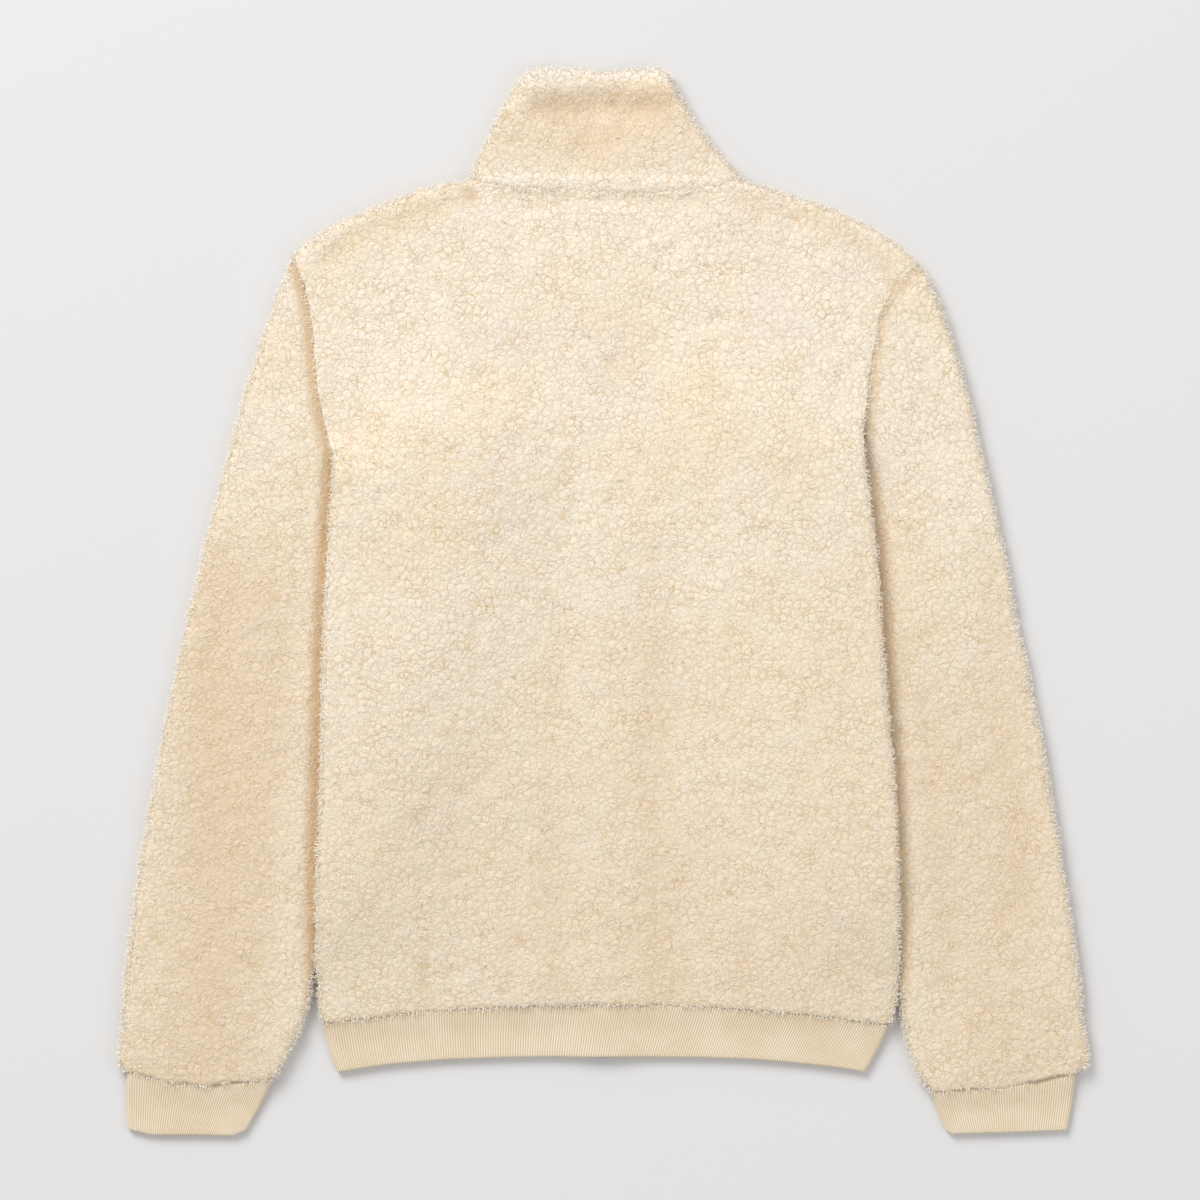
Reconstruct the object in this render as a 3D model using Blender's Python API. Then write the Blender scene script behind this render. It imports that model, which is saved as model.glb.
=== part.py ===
"""Sherpa zip jacket, size M, laid flat on its front with the zip closed.

X runs to the wearer's right, Y from the hem up to the collar and Z away from the surface
that the jacket lies on. Sizes are in millimetres and turned into metres as each mesh is made.
"""

import math

import bmesh
import bpy
import numpy as np

MM = 0.001

# Walls and the gaps between them
pile_wall = 6.0          # sherpa: knitted backing with its curled pile
pile_gap = 1.2           # between the front and the back of the body, and inside a sleeve
pile_stack = 2 * pile_wall + pile_gap
fold_radius = pile_stack / 2
collar_back_wall = 7.0
rib_wall = 3.2           # waistband, a rib knit folded double
cuff_wall = 2.8
rib_height = 0.7
band_rib_pitch = 4.06    # one solid rib for two knitted ones
cuff_rib_pitch = 3.8
seam = 0.3
fold_seam = 0.5          # between the two halves of a folded edge
seam_dip = 0.36          # how far the pile sinks at a sewn seam, as a share of half the stack

# Stack where the body's side lies on the sleeve
side_lift = 13.5

# Zip
zip_half_gap = 6.5       # from the centre line to the edge of each front
tape_low, tape_high, tape_inner = 4.4, 5.4, 3.3
chain_low, chain_high, chain_half = 3.6, 6.2, 3.0
collar_front_top = 313.9
neck_drop = 223.5        # Y of the neck seam at the zip
ridge_over_zip = 1.4

band_bottom = -354.0

# Outlines in mm from the middle of the picture. Left is the wearer's left, at -X.
left = dict(
    way=-1,
    neck_corner=(-102.2, 329.6),
    shoulder_point=(-238.6, 272.6),
    shoulder=[(-136.9, 323.3), (-172.7, 309.3), (-200.5, 297.6), (-222.3, 287.4)],
    armhole=[(-229.3, 247.7), (-225.4, 229.7), (-222.3, 200.1), (-219.4, 170.1), (-215.3, 140.2)],
    edge_start=(-210.6, 126.8),
    body_edge=[(-208.0, 107.2), (-211.4, 67.5), (-214.9, 15.2), (-217.6, -52.6), (-219.2, -122.1),
               (-220.7, -183.7), (-222.3, -237.5), (-222.3, -277.3), (-221.5, -310.8)],
    hem_corner=(-217.6, -326.2),
    front_armhole=[(-212.0, 212.0), (-177.0, 150.0)],
    underarm=(-118.6, 95.5),
    edge_clear=98.0,       # below this the body's edge lies on the sleeve
    strip_top=(62.0, 86.0),
    sleeve_outer=[(-248.3, 250.0), (-272.2, 180.1), (-283.9, 140.2), (-298.0, 87.8), (-309.7, 41.0),
                  (-331.5, -52.6), (-344.8, -122.9), (-358.0, -193.1), (-370.5, -286.7),
                  (-374.4, -333.4)],
    sleeve_inner=[(-170.4, -80.0), (-223.0, -262.0), (-225.2, -309.3), (-232.4, -328.8),
                  (-244.1, -352.9)],
    sleeve_end=[(-376.7, -362.5), (-316.0, -373.9), (-254.3, -367.8)],
    cuff_end=[(-369.7, -410.7), (-351.8, -414.6), (-287.8, -415.4), (-276.5, -411.0)],
    cuff_top=(-369.9, -255.2),
    collar_corner=(-57.0, 412.5),
    collar_fold=[(-97.9, 341.2), (-78.0, 381.0), (-66.3, 402.9)],
    band_end=(-206.7, -366.2),
)
right = dict(
    way=1,
    neck_corner=(107.8, 330.4),
    shoulder_point=(245.0, 266.0),
    shoulder=[(127.1, 324.9), (156.0, 315.0), (188.0, 303.0), (211.8, 291.3), (233.6, 277.3)],
    armhole=[(227.8, 249.2), (216.8, 231.3), (211.8, 213.3), (209.0, 190.0)],
    edge_start=(204.6, 168.1),
    body_edge=[(202.0, 141.9), (203.4, 120.0), (207.5, 87.0), (213.7, 37.1), (216.8, -12.6),
               (221.5, -72.2), (226.7, -131.9), (229.3, -183.7), (230.9, -233.6), (231.3, -277.3),
               (229.7, -316.0)],
    hem_corner=(224.2, -326.4),
    front_armhole=[(209.0, 205.0), (176.0, 152.0)],
    underarm=(117.0, 103.4),
    edge_clear=106.0,
    strip_top=(68.0, 95.0),
    sleeve_outer=[(255.5, 249.2), (267.5, 217.2), (277.4, 187.6), (287.0, 151.7), (307.3, 62.0),
                  (326.0, -29.2), (344.8, -122.9), (360.4, -216.5), (373.6, -310.1)],
    sleeve_inner=[(173.5, -80.0), (231.9, -262.0), (232.8, -318.0), (235.6, -349.1),
                  (241.8, -367.0)],
    sleeve_end=[(379.1, -363.0), (318.0, -374.5), (255.8, -379.0)],
    cuff_end=[(362.7, -411.4), (272.2, -414.3), (267.5, -411.5)],
    cuff_top=(369.0, 256.4),
    collar_corner=(51.8, 411.5),
    collar_fold=[(99.1, 341.2), (81.1, 361.1), (61.3, 391.2)],
    band_end=(205.9, -366.2),
)
neck_seam = [(-79.6, 325.7), (-32.8, 323.3), (1.6, 321.4), (45.2, 320.6), (76.4, 322.9)]
collar_top = [(-44.0, 416.2), (-28.0, 416.2), (0.0, 412.4), (21.5, 415.0), (41.0, 416.4)]


def ease(value):
    """0 to 1 with a soft start and end."""
    value = np.clip(value, 0.0, 1.0)
    return value * value * (3.0 - 2.0 * value)


class Line:
    """A drawn line through knots, smooth or straight between them, measured by length."""

    def __init__(self, knots, smooth=True):
        knots = np.array(knots, float)
        if smooth and len(knots) > 2:
            ends = np.vstack([2 * knots[0] - knots[1], knots, 2 * knots[-1] - knots[-2]])
            dense = []
            for a, b, c, d in zip(ends, ends[1:], ends[2:], ends[3:]):
                for step in np.linspace(0.0, 1.0, 12, endpoint=False):
                    dense.append(0.5 * (2 * b + (c - a) * step + (2 * a - 5 * b + 4 * c - d) * step ** 2
                                        + (3 * b - a - 3 * c + d) * step ** 3))
            knots = np.array(dense + [knots[-1]])
        self.points = knots
        self.run = np.concatenate([[0.0], np.cumsum(np.linalg.norm(np.diff(knots, axis=0), axis=1))])
        self.length = self.run[-1]

    def at(self, distance):
        return np.stack([np.interp(distance, self.run, self.points[:, k])
                         for k in range(self.points.shape[1])], axis=-1)

    def where_y(self, y):
        """Distance along a line that falls in Y, down to the given Y."""
        return float(np.interp(-y, -self.points[:, 1], self.run))

    def x_at(self, y):
        return np.interp(-np.asarray(y), -self.points[:, 1], self.points[:, 0])


def between(first, last, count):
    """Evenly spaced distances between two, without the ends."""
    return list(np.linspace(first, last, count + 2)[1:-1])


# Distances from a folded edge at which the wall's section turns by 30 degrees at a time
fold_turns = np.radians([90.0, 60.0, 30.0, 0.0])
fold_steps = list(fold_radius * (1.0 - np.sin(fold_turns)))


def patch(top, bottom, side_a, side_b, along, down):
    """Points filling four drawn sides: top and bottom by column, side_a and side_b by row."""
    along, down = along[None, :, None], down[:, None, None]
    across = (1 - down) * top[None] + down * bottom[None]
    drop = (1 - along) * side_a[:, None] + along * side_b[:, None]
    corners = ((1 - along) * (1 - down) * top[0] + along * (1 - down) * top[-1]
               + (1 - along) * down * bottom[0] + along * down * bottom[-1])
    return across + drop - corners


def edge_round(distance, share):
    """Height left near an edge: 1 inside, falling by the share at the edge in a quarter round."""
    inside = np.clip(distance / fold_radius, 0.0, 1.0)
    return 1.0 - share * (1.0 - np.sqrt(np.clip(1.0 - (1.0 - inside) ** 2, 0.0, 1.0)))


def inner_shift(distance, wall):
    """How much further in the inner face of a fold starts than its outer face."""
    inside = np.clip(distance / fold_radius, 0.0, 1.0)
    return (1.0 - inside) * wall


def fold_moves(count):
    """The same by row, for a grid whose first rows follow the fold's turns."""
    moves = np.zeros(count)
    moves[:4] = pile_wall * np.sin(fold_turns)
    return moves


def mesh_object(name, points, faces, colour, roughness=0.95):
    build = bmesh.new()
    corners = [build.verts.new(point * MM) for point in points]
    for face in faces:
        build.faces.new([corners[k] for k in face])
    bmesh.ops.recalc_face_normals(build, faces=build.faces)
    mesh = bpy.data.meshes.new(name)
    build.to_mesh(mesh)
    build.free()
    for polygon in mesh.polygons:
        polygon.use_smooth = True
    thing = bpy.data.objects.new(name, mesh)
    bpy.context.scene.collection.objects.link(thing)
    material = bpy.data.materials.new(name)
    material.use_nodes = True
    shader = material.node_tree.nodes["Principled BSDF"]
    shader.inputs["Base Color"].default_value = (*colour, 1.0)
    shader.inputs["Roughness"].default_value = roughness
    mesh.materials.append(material)
    return thing


def stitched(first, second, first_at, second_at):
    """Triangles between two rows of point numbers whose places along the rim are given."""
    faces, i, j = [], 0, 0
    while i < len(first) - 1 or j < len(second) - 1:
        step_first = j == len(second) - 1 or (i < len(first) - 1 and first_at[i + 1] <= second_at[j + 1])
        if step_first:
            faces.append((first[i], first[i + 1], second[j]))
            i += 1
        else:
            faces.append((first[i], second[j + 1], second[j]))
            j += 1
    return faces


def wall(name, outer, inner, colour, cells=None, ring=False):
    """A closed wall between two equal grids of points. cells says which squares it fills."""
    rows, columns = outer.shape[:2]
    spans = columns if ring else columns - 1
    cells = np.ones((rows - 1, spans), bool) if cells is None else cells
    used, points, faces = {}, [], []

    def corner(side, row, column):
        key = (side, row, column % columns)
        if key not in used:
            used[key] = len(points)
            points.append((inner if side else outer)[row, column % columns])
        return used[key]

    def filled(row, column):
        if ring:
            column %= columns
        return 0 <= row < rows - 1 and 0 <= column < spans and cells[row, column]

    for row in range(rows - 1):
        for column in range(spans):
            if not cells[row, column]:
                continue
            square = [(row, column), (row + 1, column), (row + 1, column + 1), (row, column + 1)]
            faces.append([corner(0, *at) for at in square])
            faces.append([corner(1, *at) for at in reversed(square)])
            beside = [(row, column - 1), (row + 1, column), (row, column + 1), (row - 1, column)]
            for k, other in enumerate(beside):
                if not filled(*other):
                    a, b = square[k], square[(k + 1) % 4]
                    faces.append([corner(0, *a), corner(1, *a), corner(1, *b), corner(0, *b)])
    return mesh_object(name, points, faces, colour)


def ribbed_wall(name, outer, inner, outer_at, inner_at, colour, ring=False):
    """A closed wall with a finely ribbed outer grid over a plain inner one."""
    points = [p for p in outer.reshape(-1, 3)] + [p for p in inner.reshape(-1, 3)]
    faces, start = [], outer.shape[0] * outer.shape[1]
    numbers = [np.arange(start).reshape(outer.shape[:2]),
               start + np.arange(inner.shape[0] * inner.shape[1]).reshape(inner.shape[:2])]
    if ring:
        numbers = [np.hstack([grid, grid[:, :1]]) for grid in numbers]
        outer_at, inner_at = np.append(outer_at, 1.0), np.append(inner_at, 1.0)
    for grid in numbers:
        for upper, lower in zip(grid, grid[1:]):
            for k in range(len(upper) - 1):
                faces.append((upper[k], lower[k], lower[k + 1], upper[k + 1]))
    outer_grid, inner_grid = numbers
    for row in (0, -1):
        faces += stitched(outer_grid[row], inner_grid[row], outer_at, inner_at)
    if not ring:
        for column in (0, -1):
            for k in range(len(outer_grid) - 1):
                faces.append((outer_grid[k, column], outer_grid[k + 1, column],
                              inner_grid[k + 1, column], inner_grid[k, column]))
    return mesh_object(name, points, faces, colour)


# Surfaces that the walls lie on

def inner_line(side):
    """The sleeve's fold next to the body, hidden under it down to the notch."""
    way = side["way"]
    above = (way * 119.0, 200.0)
    return Line([above, side["underarm"], *side["sleeve_inner"]], smooth=False)


def onto_sleeve(side, x, y, start, full):
    """0 where a body wall lies on the floor's side of the sleeve's fold, 1 where on the sleeve."""
    past_fold = side["way"] * (x - inner_line(side).x_at(y))
    return ease((past_fold + start) / (start - full))


def back_low(x, y):
    """Height of the back's inner face."""
    height = pile_wall + pile_gap + np.zeros(np.broadcast(x, y).shape)
    for side in (left, right):
        # Away from the armhole the rise onto the sleeve starts higher up, so it is a soft one
        inward = side["way"] * (armhole_line(side).x_at(y) - x)
        top = side["edge_start"][1] + 2.0 + 75.0 * ease((inward - 8.0) / 70.0)
        full = side["strip_top"][1] + 16.0
        along = ease((top - y) / (top - full)) * ease((y + 302.0) / 70.0)
        height += side_lift * along * onto_sleeve(side, x, y, 120.0, 12.0)
    return height + ridge_over_zip * np.exp(-(x / 22.0) ** 2)


def front_low(side, x, y):
    """Height of a front's outer face, which is on the floor apart from its side."""
    low, high = side["strip_top"]
    past_fold = side["way"] * (x - inner_line(side).x_at(y))
    strip_y = low + (high - low) * np.clip(past_fold / 84.0, 0.0, 1.0)
    along = ease((strip_y + 33.0 - y) / 31.0) * ease((y + 302.0) / 70.0)
    return side_lift * along * onto_sleeve(side, x, y, 80.0, 6.0)


def hem_y(x):
    return -311.5 - 14.7 * np.abs(x / 218.0) ** 2.2


def band_end_y(x):
    return band_bottom - 12.2 * np.abs(x / 206.0) ** 3.2


def back_relief(x, y):
    """Soft ridge over the zip, a trough beside it and shallow swells."""
    lower = ease((40.0 - y) / 120.0)
    swell = 0.5 * np.sin(x / 47.0 + 1.3) * np.sin(y / 71.0 + 0.4)
    trough = -0.9 * np.exp(-((x - 50.0) / 13.0) ** 2) * lower
    ridge = 0.9 * np.exp(-((x - 6.0) / 10.0) ** 2) * lower
    rim = -0.8 * np.exp(-((y - 296.0 + 0.0016 * x * x) / 9.0) ** 2) * ease((np.abs(x) - 110.0) / 40.0)
    return swell + trough + ridge + rim


cream = (0.86, 0.74, 0.57)
rib_cream = (0.80, 0.66, 0.47)
brass = (0.56, 0.50, 0.40)


def armhole_line(side):
    """Back armhole from the shoulder point down to where the body's edge starts to lie over."""
    return Line([side["shoulder_point"], *side["armhole"], side["edge_start"], *side["body_edge"],
                 side["hem_corner"]])


def armhole_stops(side):
    """Distances down the armhole and the body's edge at which the back has a row."""
    line = armhole_line(side)
    seam_end = line.where_y(side["edge_start"][1])
    clear = line.where_y(side["edge_clear"])
    strip = line.where_y(side["strip_top"][1])
    return line, [*fold_steps, *between(fold_radius, seam_end, 5), seam_end, (seam_end + clear) / 2,
                  clear, strip], clear


def front_armhole_line(side):
    return Line([side["shoulder_point"], *side["front_armhole"], side["underarm"]])


def front_armhole_stops(side):
    line = front_armhole_line(side)
    return line, [*fold_steps, *between(fold_radius, line.length, 7), line.length]


def shoulder_line(side):
    return Line([side["shoulder_point"], *side["shoulder"][::-1], side["neck_corner"]])


def neck_points():
    """The back neck seam from corner to corner, with a vertex for each column."""
    line = Line([left["neck_corner"], *neck_seam, right["neck_corner"]])
    return line.at(np.array([0.0, *between(0.0, line.length, 8), line.length]))


def front_neck_points(side):
    """The front neck seam from the zip to the corner."""
    way = side["way"]
    corner = side["neck_corner"]
    line = Line([(way * zip_half_gap, neck_drop), (way * 34.0, neck_drop + 9.0),
                 (way * 66.0, neck_drop + 34.0), (way * 90.0, neck_drop + 70.0), corner])
    return line.at(np.array([0.0, *between(0.0, line.length, 5), line.length]))


def make_back():
    columns, sides = [], {}
    for side in (left, right):
        shoulder = shoulder_line(side)
        stops = [*fold_steps, *between(fold_radius, shoulder.length, 4), shoulder.length]
        line, rows, clear = armhole_stops(side)
        rows = rows + between(rows[-1], line.length, 11) + [line.length - 6.0, line.length]
        moved = np.array(rows) + fold_moves(len(rows))
        sides[side["way"]] = (line.at(np.array(rows)), np.array(rows), line.at(moved), moved)
        columns.append(shoulder.at(np.array(stops)))
    neck = neck_points()
    top = np.vstack([columns[0][:-1], neck, columns[1][::-1][1:]])
    first_neck, last_neck = len(columns[0]) - 1, len(columns[0]) - 2 + len(neck)
    side_a, side_b = sides[-1][0], sides[1][0]
    width = side_b[-1, 0] - side_a[-1, 0]
    inner_count = len(top) - 8
    bottom_x = np.array([*(side_a[-1, 0] + np.array(fold_steps)),
                         *between(side_a[-1, 0] + fold_radius, side_b[-1, 0] - fold_radius, inner_count),
                         *(side_b[-1, 0] - np.array(fold_steps[::-1]))])
    bottom = np.stack([bottom_x, hem_y(bottom_x)], axis=-1)
    side_a[-1], side_b[-1] = bottom[0], bottom[-1]
    along = (bottom_x - bottom_x[0]) / width
    top_along = (top[:, 0] - top[0, 0]) / (top[-1, 0] - top[0, 0])
    down = (sides[-1][1] / sides[-1][1][-1] + sides[1][1] / sides[1][1][-1]) / 2
    plan = patch(top, bottom, side_a, side_b, (along + top_along) / 2, down)
    down_in = (sides[-1][3] / sides[-1][1][-1] + sides[1][3] / sides[1][1][-1]) / 2
    folded_plan = patch(top, bottom, sides[-1][2], sides[1][2], (along + top_along) / 2, down_in)
    folded_plan[4:] = plan[4:]
    x, y = plan[..., 0], plan[..., 1]
    count = x.shape[1]

    # Shares of the edge's rounding: a whole fold at shoulders and sides, a dip at sewn seams
    column_number = np.arange(count)
    shoulder_share = np.where((column_number > first_neck) & (column_number < last_neck), seam_dip, 1.0)
    shoulder_share[[first_neck, last_neck]] = 0.8
    from_top = np.linalg.norm(plan - plan[:1], axis=-1)
    round_all = edge_round(from_top, shoulder_share[None])
    inner_plan = np.where((shoulder_share > 0.5)[None, :, None], folded_plan, plan)
    from_hem = np.linalg.norm(plan - plan[-1:], axis=-1)
    round_all = round_all * edge_round(from_hem, seam_dip)
    shift_x = np.zeros_like(x)
    for side, flip in ((left, 1), (right, -1)):
        line, stops, clear = armhole_stops(side)
        seam_end = line.where_y(side["edge_start"][1])
        run = sides[side["way"]][1]
        share = seam_dip + (1 - seam_dip) * ease((run - seam_end) / (clear - seam_end))
        edge = plan[:, 0 if flip == 1 else -1]
        from_side = np.abs(x - edge[:, :1])
        round_all = round_all * edge_round(from_side, share[:, None])
        folded = ease((run - seam_end) / (clear - seam_end))
        shift_x += flip * inner_shift(from_side, pile_wall - 0.3) * folded[:, None]
    low = back_low(x, y)
    seam_z = low - (pile_gap - fold_seam) / 2
    top_z = low + pile_wall + back_relief(x, y)
    outer = np.stack([x, y, seam_z + (top_z - seam_z) * round_all], axis=-1)
    low_edge = np.where(round_all < 0.999, low - (pile_gap - fold_seam) / 2 * (1 - round_all), low)
    inner = np.stack([inner_plan[..., 0] + shift_x, inner_plan[..., 1], low_edge], axis=-1)
    # Half the seam's gap off the neighbours along the armholes, the neck and the hem
    for grid in (outer, inner):
        grid[:, 0, 0] += seam / 2
        grid[:, -1, 0] -= seam / 2
        grid[0, first_neck:last_neck + 1, 1] -= seam / 2
        grid[-1, :, 1] = hem_y(grid[-1, :, 0]) + seam / 2
    return wall("back", outer, inner, cream)


def make_front(side, name):
    way = side["way"]
    neck = front_neck_points(side)
    shoulder = shoulder_line(side)
    shoulder_stops = [*fold_steps, *between(fold_radius, shoulder.length, 3), shoulder.length]
    shoulder_points = shoulder.at(np.array(shoulder_stops))[::-1]
    top = np.vstack([neck, shoulder_points[1:]])
    armhole, stops = front_armhole_stops(side)
    last_armhole = len(stops) - 1
    inner_count = len(top) - 1

    # Down the side: the armhole on the floor, up beside the sleeve's fold, then inside the body
    low_y, _ = side["strip_top"]
    fold = inner_line(side)
    edge = armhole_line(side)
    turn = np.array([fold.x_at(low_y) - way * 0.6, low_y])
    hem_in = np.array([side["hem_corner"][0] - way * 64.0, 0.0])
    hem_in[1] = hem_y(hem_in[0])
    climb = np.array(side["underarm"]) + (turn - np.array(side["underarm"])) * 0.5
    climb[0] = fold.x_at(climb[1]) - way * 0.6
    below = Line([turn, (turn + hem_in) / 2 + np.array([way * 6.0, 0.0]), hem_in])
    lower_stops = np.array([*between(0.0, below.length, 11), below.length - 6.0, below.length])
    side_in = np.vstack([armhole.at(np.array(stops)), climb, turn, below.at(lower_stops)])
    first_strip = last_armhole + 2

    rows = len(side_in)
    run = np.concatenate([[0.0], np.cumsum(np.linalg.norm(np.diff(side_in, axis=0), axis=1))])
    down = run / run[-1]
    zip_y = neck_drop + (hem_y(0.0) - neck_drop) * down
    side_zip = np.stack([np.full(rows, way * zip_half_gap), zip_y], axis=-1)
    bottom_x = np.linspace(way * zip_half_gap, hem_in[0], inner_count + 1)
    bottom = np.stack([bottom_x, hem_y(bottom_x)], axis=-1)
    side_zip[-1] = bottom[0]
    span = np.abs(top[:, 0] - top[0, 0]) / abs(top[-1, 0] - top[0, 0])
    along = (span + np.linspace(0.0, 1.0, inner_count + 1)) / 2
    plan = patch(top, bottom, side_zip, side_in, along, down)
    moves = fold_moves(rows)
    side_moved = np.vstack([armhole.at(np.array(stops) + moves[:len(stops)]), side_in[len(stops):]])
    down_in = down + moves / run[-1]
    zip_moved = np.stack([side_zip[:, 0], neck_drop + (hem_y(0.0) - neck_drop) * down_in], axis=-1)
    folded_plan = patch(top, bottom, zip_moved, side_moved, along, down_in)
    folded_plan[4:] = plan[4:]
    first_shoulder = len(neck) - 1
    inner_plan = np.where((np.arange(len(top)) >= first_shoulder)[None, :, None], folded_plan, plan)

    # The side strip from there out to the body's edge, under the back
    strip_start = edge.where_y(side["strip_top"][1])
    strip_run = np.concatenate([[strip_start], strip_start + (edge.length - strip_start)
                                * lower_stops / below.length])
    outer_edge = edge.at(strip_run)
    outer_edge[-1] = (side["hem_corner"][0], hem_y(side["hem_corner"][0]))
    strip_columns = 4 + 3
    strip = np.zeros((rows, strip_columns, 2))
    for k, row in enumerate(range(first_strip, rows)):
        inside, edge_point = side_in[row], outer_edge[k]
        length = np.linalg.norm(edge_point - inside)
        from_edge = np.array([*between(length, fold_radius, 3), *fold_steps[::-1]])
        strip[row] = edge_point + (inside - edge_point) * (from_edge / length)[:, None]
    strip[:first_strip] = strip[first_strip]
    plan = np.concatenate([plan, strip], axis=1)
    inner_plan = np.concatenate([inner_plan, strip], axis=1)
    x, y = plan[..., 0], plan[..., 1]
    columns = plan.shape[1]
    cells = np.ones((rows - 1, columns - 1), bool)
    cells[:first_strip, inner_count:] = False

    low = front_low(side, x, y)
    share = np.where(np.arange(columns) > first_shoulder, 1.0, 0.0)
    share[first_shoulder] = 0.8
    from_top = np.linalg.norm(plan - plan[:1], axis=-1)
    round_all = edge_round(from_top, share[None] * (np.arange(columns) <= inner_count)[None])
    from_side = np.linalg.norm(plan - plan[:, -1:], axis=-1)
    from_side[:first_strip] = 99.0
    round_all = round_all * edge_round(from_side, 1.0)
    shift_x = -way * inner_shift(from_side, pile_wall - 0.3)
    seam_z = low + pile_wall + (pile_gap - fold_seam) / 2
    outer = np.stack([x, y, seam_z + (low - seam_z) * round_all], axis=-1)
    inner_z = low + pile_wall + (pile_gap - fold_seam) / 2 * (1 - round_all)
    inner = np.stack([inner_plan[..., 0] + shift_x, inner_plan[..., 1], inner_z], axis=-1)
    for grid in (outer, inner):
        grid[:last_armhole + 1, inner_count, 0] -= way * seam / 2
        grid[-1, :, 1] = hem_y(grid[-1, :, 0]) + seam / 2
        grid[0, :first_shoulder + 1, 1] -= seam / 2
    return wall(name, outer, inner, cream, cells=cells)


def make_sleeve(side, name):
    way = side["way"]
    # Round the sleeve's mouth: floor side from the underarm to the shoulder, then the top side back
    front_line, front_stops = front_armhole_stops(side)
    fold_in, turn = fold_steps, np.sin(fold_turns)
    front_all = sorted(set(front_stops[:-1]) | {front_line.length - step for step in fold_in})
    lower = front_line.at(np.array(front_all))
    lower[:, 0] += way * seam / 2
    back_line, back_stops, clear = armhole_stops(side)
    visible = [stop for stop in back_stops if stop <= clear + 1e-6]
    upper = back_line.at(np.array(visible))
    upper[:, 0] += way * seam / 2
    hidden = Line([upper[-1], (np.array(side["underarm"]) + upper[-1]) / 2 - np.array([0.0, 2.0]),
                   lower[-1]])
    hidden_stops = np.array([*between(0.0, hidden.length - fold_radius, 3),
                             *(hidden.length - np.array(fold_in[::-1]))])
    upper = np.vstack([upper, hidden.at(hidden_stops)])
    upper[-1] = lower[-1]

    end = Line(side["sleeve_end"])
    outer_line = Line([side["shoulder_point"], *side["sleeve_outer"], side["sleeve_end"][0]])
    inner_edge = Line([lower[-1], *side["sleeve_inner"], side["sleeve_end"][-1]], smooth=False)
    down = np.array([0.0, 0.008, 0.03, *between(0.03, 0.985, 12), 0.985, 1.0])
    outer_points = outer_line.at(down * outer_line.length)
    inner_points = inner_edge.at(down * inner_edge.length)

    def sheet(vertices, inset):
        """Plan points of one side of the flattened sleeve, from the outer fold to the inner one.

        inset moves the fold's columns in, for the wall's inner face.
        """
        mouth_line = Line(vertices, smooth=False)
        run = mouth_line.run
        move = np.zeros(len(run))
        move[:4], move[-4:] = inset * turn, -inset * turn[::-1]
        mouth = mouth_line.at(run + move)
        grid = np.zeros((len(down), len(mouth), 2))
        for row, share in enumerate(down):
            width = np.linalg.norm(inner_points[row] - outer_points[row])
            from_outer = run / run[-1] * width
            from_outer[:4] = fold_in
            from_outer[-4:] = width - np.array(fold_in[::-1])
            from_outer = from_outer + move
            across = (from_outer / width)[:, None]
            straight = outer_points[row] + (inner_points[row] - outer_points[row]) * across
            mouth_across = outer_points[0] + (inner_points[0] - outer_points[0]) * across
            end_along = end.at(end.length * across[:, 0])
            end_across = end.points[0] + (end.points[-1] - end.points[0]) * across
            grid[row] = (straight + (mouth - mouth_across) * (1 - share) ** 3
                         + (end_along - end_across) * share ** 6)
        grid[0] = mouth
        return grid

    def level(vertices, upside):
        """Outer and inner points of one side, with the quarter folds at both ends of each row."""
        plan, inner_plan = sheet(vertices, 0.0), sheet(vertices, pile_wall)
        bend = np.zeros(plan.shape[1])
        bend[:4], bend[-4:] = turn, turn[::-1]
        drop = 1.0 - np.sqrt(1.0 - bend ** 2)
        small = pile_gap / 2
        x, y = plan[..., 0], plan[..., 1]
        sunk = 0.6 + 0.6 * np.sin(y / 37.0 + 1.0) * np.sin(x / 23.0)
        half = fold_radius - (sunk if upside else 0.0)
        ends = np.minimum(np.linalg.norm(plan - plan[:1], axis=-1),
                          np.linalg.norm(plan - plan[-1:], axis=-1))
        dip = edge_round(ends, seam_dip) if upside else 1.0
        sign = 1.0 if upside else -1.0
        outer_z = fold_radius + sign * half * (1 - drop) * dip
        inner_z = np.broadcast_to(fold_radius + sign * small * (1 - drop), x.shape)
        outer = np.stack([x, y, outer_z * np.ones_like(x)], axis=-1)
        inner = np.stack([inner_plan[..., 0], inner_plan[..., 1], inner_z], axis=-1)
        return outer, inner

    high_outer, high_inner = level(upper, True)
    low_outer, low_inner = level(lower, False)
    outer = np.concatenate([low_outer, high_outer[:, ::-1][:, 1:-1]], axis=1)
    inner = np.concatenate([low_inner, high_inner[:, ::-1][:, 1:-1]], axis=1)
    for grid in (outer, inner):
        grid[-1, :, 1] += seam / 2
    return wall(name, outer, inner, cream, ring=True)


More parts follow.
